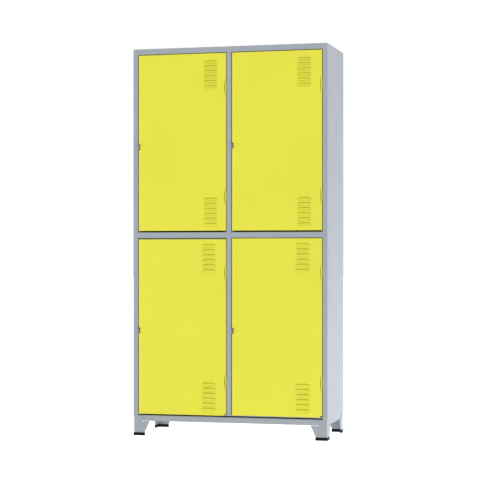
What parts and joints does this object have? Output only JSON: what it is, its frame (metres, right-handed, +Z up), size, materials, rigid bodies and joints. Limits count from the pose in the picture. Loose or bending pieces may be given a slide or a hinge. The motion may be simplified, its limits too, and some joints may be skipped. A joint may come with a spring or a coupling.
{
  "type": "locker cabinet",
  "caption": "Steel locker cabinet with hinged louvred doors in two tiers, padlock eyes, and a low base on tapered corner legs with plastic foot caps.",
  "frame": {"origin": "centre of the bounding box in plan, on the floor under the foot caps", "axes": "+X to the right seen from the front, +Y from the doors to the back, +Z up"},
  "size_m": [1, 0.425, 1.95],
  "materials": {
    "side_paint": "light blue-grey powder coat, fine satin texture",
    "frame_paint": "blue-grey powder coat, fine satin texture",
    "inner_paint": "blue-grey powder coat, satin",
    "base_paint": "blue-grey powder coat, satin",
    "door_paint": "lemon yellow powder coat, fine satin texture",
    "pin_steel": "bright steel wire",
    "eye_paint": "blue-grey powder coat over thick plate",
    "foot_plastic": "black moulded plastic, fine grain",
    "buffer_rubber": "black rubber, matt"
  },
  "bodies": {
    "cabinet": {"side_panel_left": "side_paint", "side_panel_right": "side_paint", "back_panel": "inner_paint", "top_panel": "frame_paint", "floor_panel": "inner_paint", "bottom_panel": "inner_paint", "partition": "inner_paint", "mullion": "frame_paint", "shelf_left": "frame_paint", "shelf_right": "frame_paint", "base_rail_front": "base_paint", "base_rail_rear": "base_paint", "base_rail_left": "base_paint", "base_rail_right": "base_paint", "leg_front_left": "base_paint", "leg_front_right": "base_paint", "leg_rear_left": "base_paint", "leg_rear_right": "base_paint", "foot_cap_front_left": "foot_plastic", "foot_cap_front_right": "foot_plastic", "foot_cap_rear_left": "foot_plastic", "foot_cap_rear_right": "foot_plastic", "frame_leaves_upper_left": "door_paint", "padlock_eye_upper_left": "eye_paint", "frame_leaves_upper_right": "door_paint", "padlock_eye_upper_right": "eye_paint", "frame_leaves_lower_left": "door_paint", "padlock_eye_lower_left": "eye_paint", "frame_leaves_lower_right": "door_paint", "padlock_eye_lower_right": "eye_paint"},
    "door_upper_left": {"door_upper_left": "door_paint", "stiffener_upper_left": "door_paint", "door_leaves_upper_left": "door_paint", "hinge_pins_upper_left": "pin_steel", "buffers_upper_left": "buffer_rubber"},
    "door_upper_right": {"door_upper_right": "door_paint", "stiffener_upper_right": "door_paint", "door_leaves_upper_right": "door_paint", "hinge_pins_upper_right": "pin_steel", "buffers_upper_right": "buffer_rubber"},
    "door_lower_left": {"door_lower_left": "door_paint", "stiffener_lower_left": "door_paint", "door_leaves_lower_left": "door_paint", "hinge_pins_lower_left": "pin_steel", "buffers_lower_left": "buffer_rubber"},
    "door_lower_right": {"door_lower_right": "door_paint", "stiffener_lower_right": "door_paint", "door_leaves_lower_right": "door_paint", "hinge_pins_lower_right": "pin_steel", "buffers_lower_right": "buffer_rubber"}
  },
  "joints": [
    {"name": "upper_left_hinge", "type": "hinge", "parent": "cabinet", "child": "door_upper_left", "pos_m": [-0.019, -0.1925, 1.4755], "axis": [0, 0, 1], "range_deg": [0, 105]},
    {"name": "upper_right_hinge", "type": "hinge", "parent": "cabinet", "child": "door_upper_right", "pos_m": [0.469, -0.1925, 1.4755], "axis": [0, 0, 1], "range_deg": [0, 105]},
    {"name": "lower_left_hinge", "type": "hinge", "parent": "cabinet", "child": "door_lower_left", "pos_m": [-0.019, -0.1925, 0.55], "axis": [0, 0, 1], "range_deg": [0, 105]},
    {"name": "lower_right_hinge", "type": "hinge", "parent": "cabinet", "child": "door_lower_right", "pos_m": [0.469, -0.1925, 0.5535], "axis": [0, 0, 1], "range_deg": [0, 105]}
  ]
}
